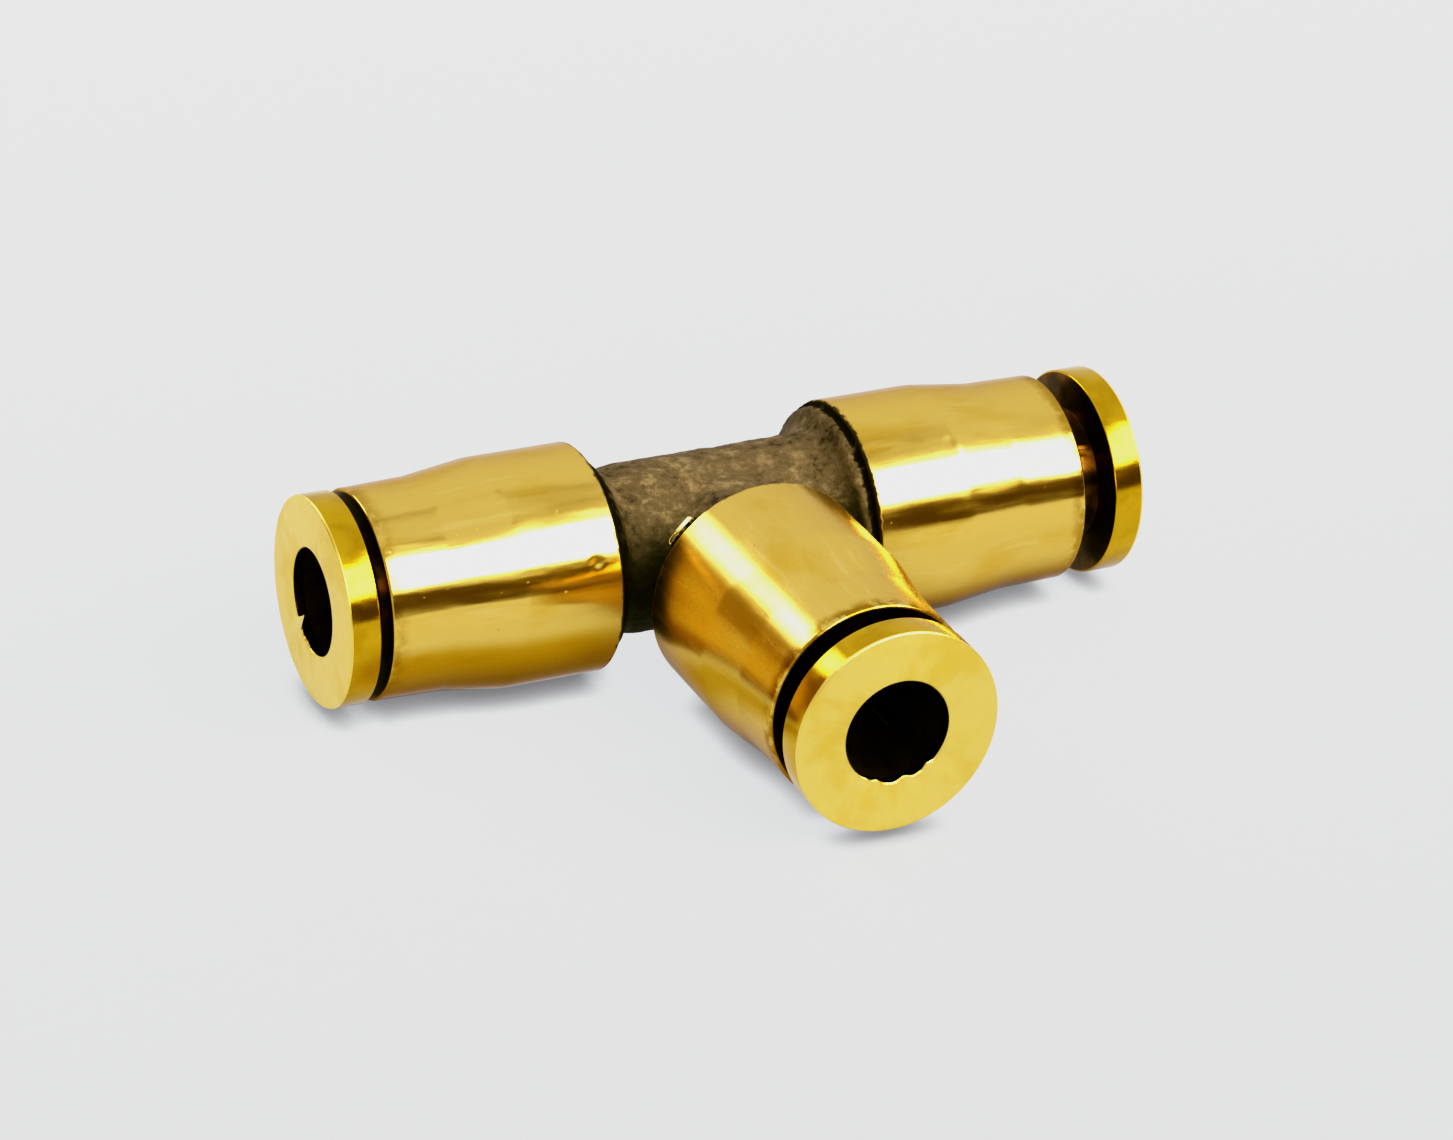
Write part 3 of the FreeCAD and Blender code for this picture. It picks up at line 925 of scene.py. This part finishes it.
def glowing(name, color, radiance, soft_x=0.01, soft_y=0.01):
    """Light given off by a card, which fades over those shares of its width and height."""
    s = Shader(name, (0, 0, 0), 0.0, 1.0)
    s.set("Specular IOR Level", 0.0)
    s.set("Emission Color", (*color, 1))
    s.set("Emission Strength", s.math("MULTIPLY", radiance, card_fade(s, soft_x, soft_y)))
    return s.material


def card_fade(s, soft_x, soft_y):
    """1 in the middle of a card and 0 at its edges, over those shares of its width and height."""
    uv = s.add("ShaderNodeUVMap", uv_map="card").outputs[0]
    split = s.add("ShaderNodeSeparateXYZ", {"Vector": uv})
    fade = 1.0
    for axis, soft in (("X", soft_x), ("Y", soft_y)):
        inwards = s.math("SUBTRACT", 0.5, s.math("ABSOLUTE", s.math("SUBTRACT", split.outputs[axis], 0.5)))
        fade = s.math("MULTIPLY", fade, s.spread(inwards, 0.0, soft))
    return fade


def shaded_floor():
    """Painted floor shadow: the floor's own glow at the edges of a low card, darkening to a brown shade
    towards its middle.
    """
    s = Shader("shaded_floor", (0, 0, 0), 0.0, 1.0)
    s.set("Specular IOR Level", 0.0)
    s.set("Emission Color", s.mix(card_fade(s, 0.22, 0.45), (0.985, 0.995, 1.0), (0.70, 0.59, 0.15)))
    s.set("Emission Strength", 0.735)
    return s.material


def studio():
    """A pale room with a bank of light at the right front, a strip behind at the left, dim flags, and a
    painted floor shadow under the left barrel that only polished metal sees.
    """
    world = bpy.data.worlds.new("studio")
    bpy.context.scene.world = world
    world.use_nodes = True
    background = world.node_tree.nodes["Background"]
    background.inputs["Color"].default_value = (0.80, 0.81, 0.83, 1)
    background.inputs["Strength"].default_value = 0.925

    key = glowing("key_glow", (1.0, 0.98, 0.76), 9.0, 0.06, 0.08)
    card("key", 29, 40.5, 84, 34, key, distance=1.0, roll=-6)
    strip = glowing("strip_glow", (1.0, 0.97, 0.90), 6.5, 0.12, 0.44)
    card("back_strip", -148, 32.5, 38, 23, strip, roll=48)

    brown = glowing("flag_brown", (0.125, 0.084, 0.036), 1.0)
    card("front_flag", 22, 10, 96, 22, brown)
    grey = glowing("flag_grey", (0.42, 0.38, 0.29), 1.0)
    card("upper_flag", 95, 66, 110, 3.5, grey, distance=0.9)
    amber = glowing("flag_amber", (0.29, 0.18, 0.03), 1.0)
    card("back_flag", -129.5, 17, 52, 29, amber, distance=0.85, roll=48)
    # Painted shadow: a brown card under the front of the left barrel, which polished metal sees in place of
    # the floor there.
    low_card("painted_floor_shadow", (-27, -14), (-4, -2.5), shaded_floor())


# What the view makes of each brightness: deeper darks, and highlights that stop short of full white.
TONE_TOP = (4.0, 0.85)
TONES = ((0.04, 0.018), (0.14, 0.10), (0.35, 0.335), (0.62, 0.63), (0.82, 0.80), (1.1, 0.84), (1.5, 0.85))

# The same for blue alone, which the darks lose.
BLUE_TOP = (4.0, 4.0)
BLUES = ((0.0135, 0.002), (0.037, 0.020), (0.07, 0.058), (0.12, 0.118), (0.3, 0.31), (1.0, 1.0))


def toning():
    view = bpy.context.scene.view_settings
    view.view_transform = "Standard"
    view.use_curve_mapping = True
    mapping = view.curve_mapping
    mapping.clip_max_x = TONE_TOP[0]
    mapping.extend = "HORIZONTAL"
    blue, combined = mapping.curves[2], mapping.curves[3]
    for curve, top, places in ((combined, TONE_TOP, TONES), (blue, BLUE_TOP, BLUES)):
        curve.points[0].location = (0, 0)
        curve.points[1].location = top
        for place in places:
            curve.points.new(*place)
    mapping.update()
    for point in list(combined.points) + list(blue.points):
        point.handle_type = "AUTO_CLAMPED"
    mapping.update()


def floor(material):
    bm = bmesh.new()
    level = Matrix.Translation((0, 0, FLOOR_Z))
    bmesh.ops.create_grid(bm, x_segments=8, y_segments=8, size=3.0, matrix=level)
    made = finish_mesh("floor", bm, [material])


# The camera's place, fitted to the object's outline.
CAMERA_AZIMUTH = -26.21
CAMERA_ELEVATION = 27.59
CAMERA_ROLL = 2.81
CAMERA_DISTANCE = 0.3209
CAMERA_AIM = Vector((0.00084, -0.00147, -0.00194))
CAMERA_LENS = 128.93


def camera():
    data = bpy.data.cameras.new("camera")
    data.lens = CAMERA_LENS
    data.sensor_width = 36
    data.clip_start = 0.01
    data.clip_end = 20
    made = bpy.data.objects.new("camera", data)
    bpy.context.scene.collection.objects.link(made)
    towards = direction(CAMERA_AZIMUTH, CAMERA_ELEVATION)
    turned = towards.to_track_quat("Z", "Y").to_matrix() @ Matrix.Rotation(math.radians(CAMERA_ROLL), 3, "Z")
    made.matrix_world = Matrix.Translation(CAMERA_AIM + towards * CAMERA_DISTANCE) @ turned.to_4x4()
    bpy.context.scene.camera = made


# ---- Everything ---------------------------------------------------------------------------------------


def barrel_outsides():
    """The brass of each barrel. The branch is duller and browner at its mouth than the run."""
    left, right, branch = PORTS
    left_dents = [(-65, 10.2, 0.55, 1.3, 0.03), (-28, 16.5, 0.5, 6, 0.016)]
    right_dents = [(34, 14.5, 0.5, 1.2, 0.03)]
    branch_dents = [(-15, 21.4, 0.6, 1, 0.03)]
    return {
        "left": barrel_brass(left, 0.115, 1.0, 0.93, 0.45, left_dents),
        "right": barrel_brass(right, 0.115, 1.0, 0.84, 0.6, right_dents),
        "branch": barrel_brass(branch, 0.215, 0.6, 0.98, 0.85, branch_dents),
    }


def build():
    outsides = barrel_outsides()
    groove, inner = groove_brass(), inner_brass()
    collet_looks = [collet_face_brass(), collet_rim_brass(), groove, inner]
    scale, rubber = forged_brass(), nitrile()
    forging(scale)
    for port in PORTS:
        barrel(port, [outsides[port.side], groove, inner, scale])
        collet(port, collet_looks)
        tube_support(port, inner)
        seal_washer(port, inner)
        cam_ring(port, inner)
        o_ring(port, rubber)
    floor(floor_glow())
    studio()
    camera()
    toning()


build()
